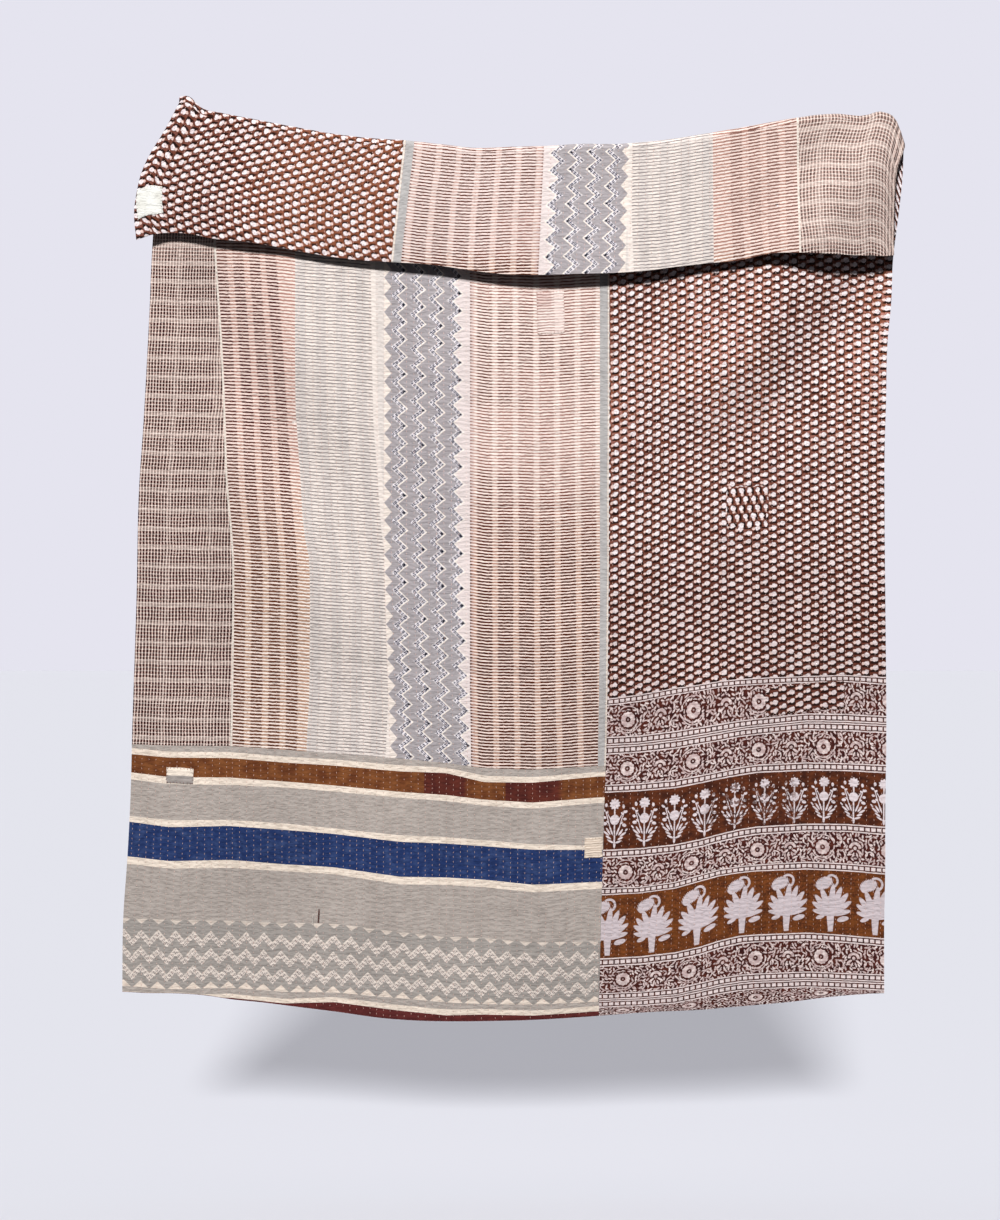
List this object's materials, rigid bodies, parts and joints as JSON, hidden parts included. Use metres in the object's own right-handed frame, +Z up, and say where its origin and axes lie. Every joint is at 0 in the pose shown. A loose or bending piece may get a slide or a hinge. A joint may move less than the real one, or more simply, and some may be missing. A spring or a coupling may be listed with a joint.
{
  "type": "kantha quilt",
  "caption": "Hand-stitched patchwork quilt of layered printed and striped cloths, hanging by its upper edge with the top folded forwards.",
  "frame": {"origin": "crown of the top fold, near the middle of its length, where the quilt is held up", "axes": "+Z up, -Y out of the quilt's front, +X to the right of someone facing the front"},
  "size_m": [1.5651, 0.0765, 1.8484],
  "materials": {
    "striped_cloth": "matt quilted cotton in brown, cream and grey stripes, checks and zigzags",
    "printed_cloth": "matt quilted cotton, dark brown block print with pale dots and flower borders",
    "plain_patch": "matt cream cotton",
    "label": "blank off-white cotton label"
  },
  "bodies": {
    "root": {"front_striped_panel": "striped_cloth", "back_striped_panel": "striped_cloth", "front_print_panel": "printed_cloth", "back_print_panel": "printed_cloth", "band_patch": "plain_patch", "cream_patch": "plain_patch", "print_patch": "printed_cloth", "stripe_patch": "striped_cloth", "blank_label": "label"}
  },
  "joints": []
}
